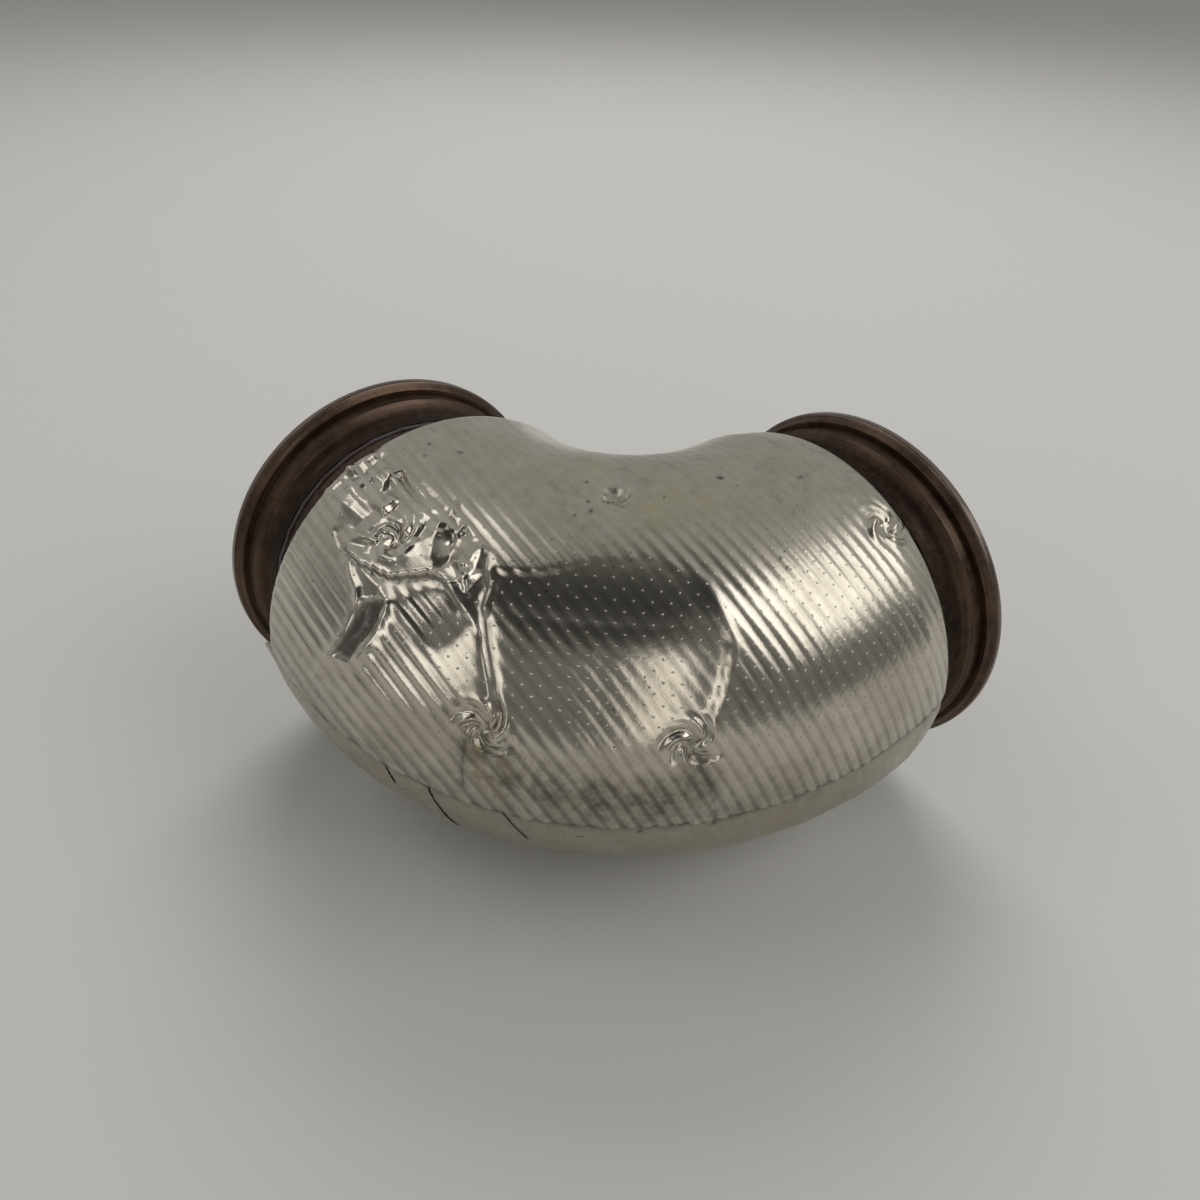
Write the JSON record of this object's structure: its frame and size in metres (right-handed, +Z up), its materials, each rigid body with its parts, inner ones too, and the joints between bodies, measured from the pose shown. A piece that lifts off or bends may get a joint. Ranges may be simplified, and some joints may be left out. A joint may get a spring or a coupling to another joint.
{
  "type": "insulated exhaust pipe elbow",
  "caption": "Quarter-circle exhaust elbow with a clamp flange at each end and a dented ribbed foil cover over fibre insulation.",
  "frame": {"origin": "centre of the inlet flange's sealing face", "axes": "the inlet leg runs along +X, the bend turns towards +Y in the plane z = 0, the outlet leg leaves along +Y, +Z is up as it lies on its side"},
  "size_m": [0.2267, 0.2267, 0.1572],
  "materials": {
    "flange_steel": "heat-tinted brown steel with scuffs",
    "pipe_steel": "heat-tinted brown steel",
    "weld_metal": "oxidised weld metal",
    "fibre_mat": "pressed glass fibre",
    "embossed_foil": "bright ribbed stainless foil, stained"
  },
  "bodies": {
    "root": {"inlet_flange": "flange_steel", "outlet_flange": "flange_steel", "inlet_flange_weld": "weld_metal", "outlet_flange_weld": "weld_metal", "pipe_upper_half": "pipe_steel", "pipe_lower_half": "pipe_steel", "seam_weld_inner": "weld_metal", "seam_weld_outer": "weld_metal", "insulation_upper": "fibre_mat", "insulation_lower": "fibre_mat", "foil_cover_upper": "embossed_foil", "foil_cover_lower": "embossed_foil"}
  },
  "joints": []
}
